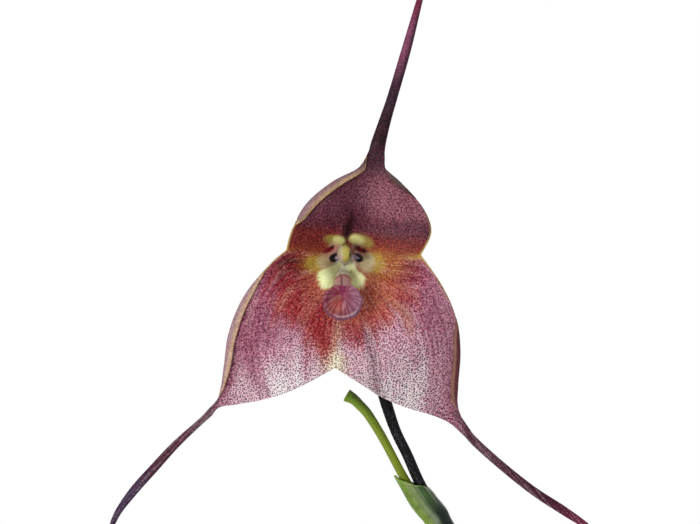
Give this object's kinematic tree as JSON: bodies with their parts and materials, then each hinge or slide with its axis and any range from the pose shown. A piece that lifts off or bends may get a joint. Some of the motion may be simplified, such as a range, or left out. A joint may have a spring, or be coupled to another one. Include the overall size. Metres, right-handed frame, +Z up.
{
  "type": "potted orchid",
  "caption": "Potted orchid: a tuft of keeled strap leaves in a plain clay pot and a long-tailed bloom on an arching stalk.",
  "frame": {"origin": "middle of the pot's flat foot, where it stands", "axes": "+Z up, the bloom faces -Y, +X to the viewer's right"},
  "size_m": [0.2642, 0.2838, 0.5911],
  "materials": {
    "terracotta": "matte",
    "bark": "matte",
    "root": "matte",
    "leaf": "satin",
    "sheath": "matte",
    "stalk": "satin",
    "bract": "matte",
    "dark_stalk": "matte",
    "green_stalk": "satin",
    "sepal": "matte",
    "petal": "satin",
    "column": "satin",
    "lip": "matte"
  },
  "bodies": {
    "root": {"clay_pot": "terracotta", "bark_mix": "bark", "rootstock": "root", "leaf_01": "leaf", "leaf_sheath_01": "sheath", "leaf_02": "leaf", "leaf_sheath_02": "sheath", "leaf_03": "leaf", "leaf_sheath_03": "sheath", "leaf_04": "leaf", "leaf_sheath_04": "sheath", "leaf_05": "leaf", "leaf_sheath_05": "sheath", "leaf_06": "leaf", "leaf_sheath_06": "sheath", "leaf_07": "leaf", "leaf_sheath_07": "sheath", "leaf_08": "leaf", "leaf_sheath_08": "sheath", "leaf_09": "leaf", "leaf_sheath_09": "sheath", "leaf_10": "leaf", "leaf_sheath_10": "sheath", "leaf_11": "leaf", "leaf_sheath_11": "sheath", "scape": "stalk", "scape_bract_lower": "bract", "scape_bract_middle": "bract", "scape_bract_upper": "bract", "floral_bract": "bract", "pedicel_and_ovary": "dark_stalk", "old_stalk": "green_stalk", "sepals": "sepal", "petal_left": "petal", "petal_right": "petal", "column": "column", "lip": "lip"}
  },
  "joints": []
}
